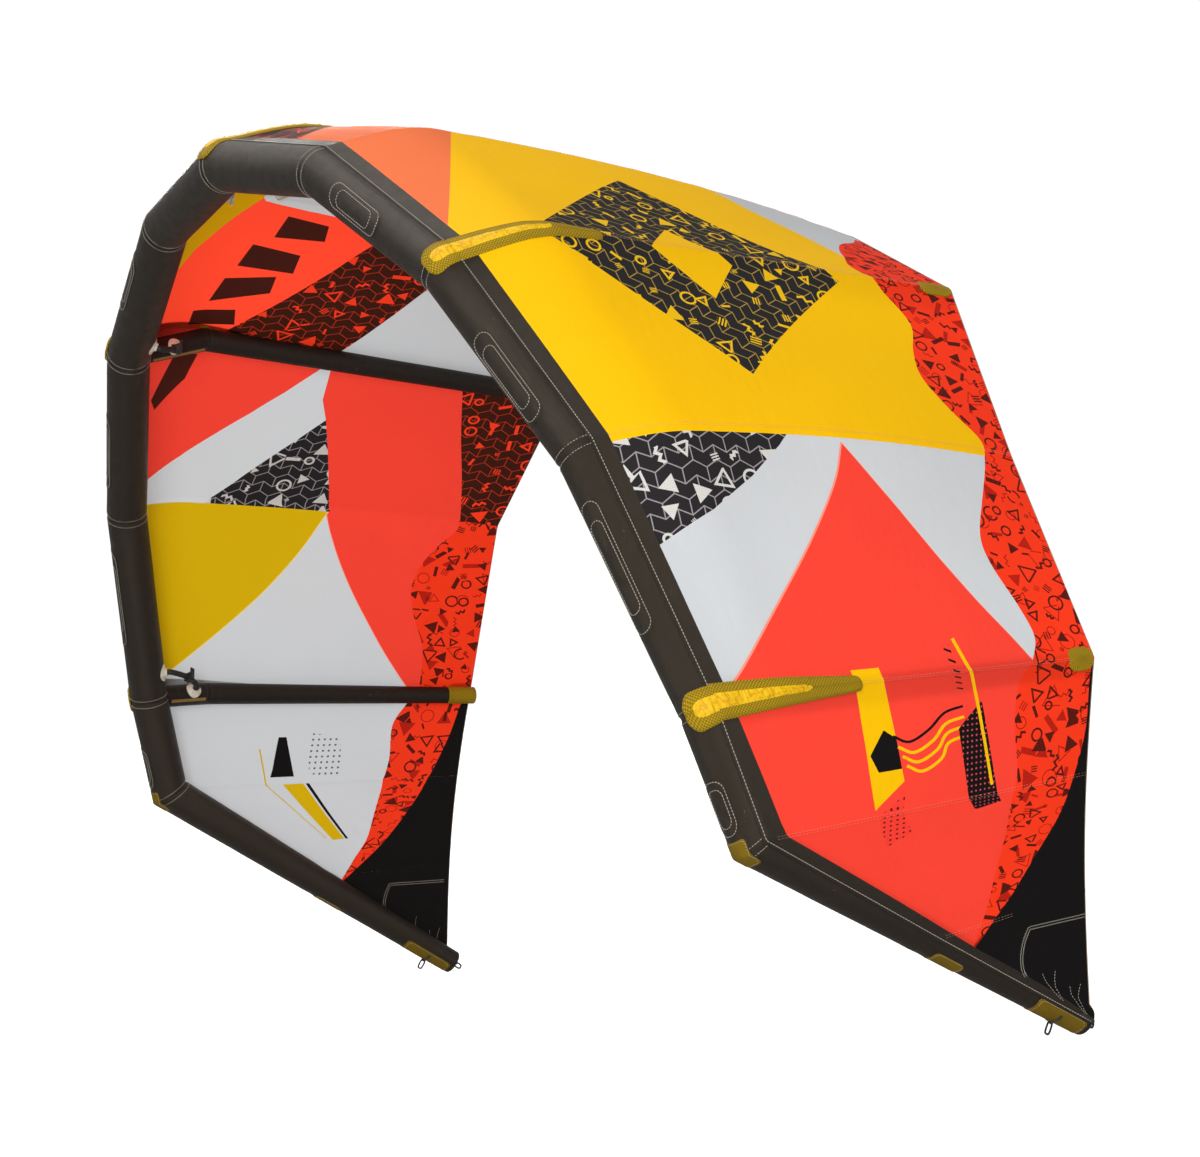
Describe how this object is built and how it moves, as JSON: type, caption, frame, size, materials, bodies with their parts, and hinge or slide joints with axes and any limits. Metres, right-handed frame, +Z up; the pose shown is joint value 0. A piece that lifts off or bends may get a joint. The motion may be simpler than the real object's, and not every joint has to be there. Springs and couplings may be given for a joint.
{
  "type": "kitesurf kite",
  "caption": "Inflatable kitesurf kite: arched cloth canopy on an inflated leading edge with struts, bladders, one-pump hoses, valves and line loops at the tips.",
  "frame": {"origin": "middle of the leading edge tube on the centre line", "axes": "+Z up, +Y from the leading edge to the trailing edge, +X towards the wing that is on the right when seen from in front"},
  "size_m": [4.594, 2.0611, 3.0505],
  "materials": {
    "leading_edge_cloth": "satin polyester cloth",
    "strut_cloth": "satin polyester cloth",
    "bladder_film": "clear soft polyurethane film",
    "canopy_orange": "coated ripstop cloth",
    "canopy_yellow": "coated ripstop cloth",
    "canopy_red": "coated ripstop cloth",
    "olive_mesh": "coarse mesh",
    "tongue_yellow": "crinkled coated cloth",
    "clip_plastic": "satin",
    "hose_rubber": "satin",
    "valve_white": "gloss",
    "loop_webbing": "woven"
  },
  "bodies": {
    "kite_frame": {"canopy_centre_left": "canopy_orange", "canopy_centre_right": "canopy_orange", "canopy_outer_left": "canopy_yellow", "canopy_outer_right": "canopy_yellow", "canopy_tip_left": "canopy_red", "canopy_tip_right": "canopy_red", "dump_valve_body": "valve_white", "hose_centre": "hose_rubber", "hose_inner_left": "hose_rubber", "hose_inner_right": "hose_rubber", "hose_outer_left": "hose_rubber", "hose_outer_right": "hose_rubber", "inflate_valve_body": "valve_white", "le_bladder": "bladder_film", "le_casing_centre_left": "leading_edge_cloth", "le_casing_centre_right": "leading_edge_cloth", "le_casing_corner_left": "leading_edge_cloth", "le_casing_corner_right": "leading_edge_cloth", "le_casing_outer_left": "leading_edge_cloth", "le_casing_outer_right": "leading_edge_cloth", "le_casing_quarter_left": "leading_edge_cloth", "le_casing_quarter_right": "leading_edge_cloth", "le_casing_shoulder_left": "leading_edge_cloth", "le_casing_shoulder_right": "leading_edge_cloth", "le_casing_tip_left": "leading_edge_cloth", "le_casing_tip_right": "leading_edge_cloth", "line_loop_front_left": "loop_webbing", "line_loop_front_right": "loop_webbing", "line_loop_rear_left": "loop_webbing", "line_loop_rear_right": "loop_webbing", "strut_bladder_centre": "bladder_film", "strut_bladder_inner_left": "bladder_film", "strut_bladder_inner_right": "bladder_film", "strut_bladder_outer_left": "bladder_film", "strut_bladder_outer_right": "bladder_film", "strut_casing_centre": "strut_cloth", "strut_casing_inner_left": "strut_cloth", "strut_casing_inner_right": "strut_cloth", "strut_casing_outer_left": "strut_cloth", "strut_casing_outer_right": "strut_cloth", "strut_end_cover_centre": "olive_mesh", "strut_end_cover_inner_left": "olive_mesh", "strut_end_cover_inner_right": "olive_mesh", "strut_end_cover_outer_left": "olive_mesh", "strut_end_cover_outer_right": "olive_mesh", "tongue_centre": "tongue_yellow", "tongue_inner_left": "tongue_yellow", "tongue_inner_right": "tongue_yellow", "tongue_outer_left": "tongue_yellow", "tongue_outer_right": "tongue_yellow"},
    "dump_valve_cap_body": {"dump_valve_cap": "valve_white"},
    "hose_clip_centre_body": {"hose_clip_centre": "clip_plastic"},
    "hose_clip_inner_left_body": {"hose_clip_inner_left": "clip_plastic"},
    "hose_clip_inner_right_body": {"hose_clip_inner_right": "clip_plastic"},
    "hose_clip_outer_left_body": {"hose_clip_outer_left": "clip_plastic"},
    "hose_clip_outer_right_body": {"hose_clip_outer_right": "clip_plastic"},
    "inflate_valve_cap_body": {"inflate_valve_cap": "valve_white"}
  },
  "joints": [
    {"name": "dump_valve_cap_hinge", "type": "hinge", "parent": "kite_frame", "child": "dump_valve_cap_body", "pos_m": [0.26459, 0.1131, -0.10672], "axis": [0.9831, 0.0661, -0.1705], "range_deg": [0, 150]},
    {"name": "hose_clip_centre_hinge", "type": "hinge", "parent": "kite_frame", "child": "hose_clip_centre_body", "pos_m": [0.07692, 0.16714, -0.07418], "axis": [-0.3214, 0.7403, 0.5905], "range_deg": [0, 60]},
    {"name": "hose_clip_inner_left_hinge", "type": "hinge", "parent": "kite_frame", "child": "hose_clip_inner_left_body", "pos_m": [-1.22593, 0.28652, -0.49458], "axis": [-0.6573, 0.7426, 0.1285], "range_deg": [0, 60]},
    {"name": "hose_clip_inner_right_hinge", "type": "hinge", "parent": "kite_frame", "child": "hose_clip_inner_right_body", "pos_m": [1.22073, 0.28874, -0.47137], "axis": [0.6635, 0.7283, 0.1712], "range_deg": [0, 60]},
    {"name": "hose_clip_outer_left_hinge", "type": "hinge", "parent": "kite_frame", "child": "hose_clip_outer_left_body", "pos_m": [-2.04243, 0.57836, -1.67212], "axis": [-0.3839, 0.8278, -0.4091], "range_deg": [0, 60]},
    {"name": "hose_clip_outer_right_hinge", "type": "hinge", "parent": "kite_frame", "child": "hose_clip_outer_right_body", "pos_m": [2.05434, 0.58201, -1.71184], "axis": [0.3907, 0.8448, -0.3656], "range_deg": [0, 60]},
    {"name": "inflate_valve_cap_hinge", "type": "hinge", "parent": "kite_frame", "child": "inflate_valve_cap_body", "pos_m": [-0.26683, 0.12168, -0.09048], "axis": [-0.9831, 0.0661, -0.1705], "range_deg": [0, 150]}
  ]
}
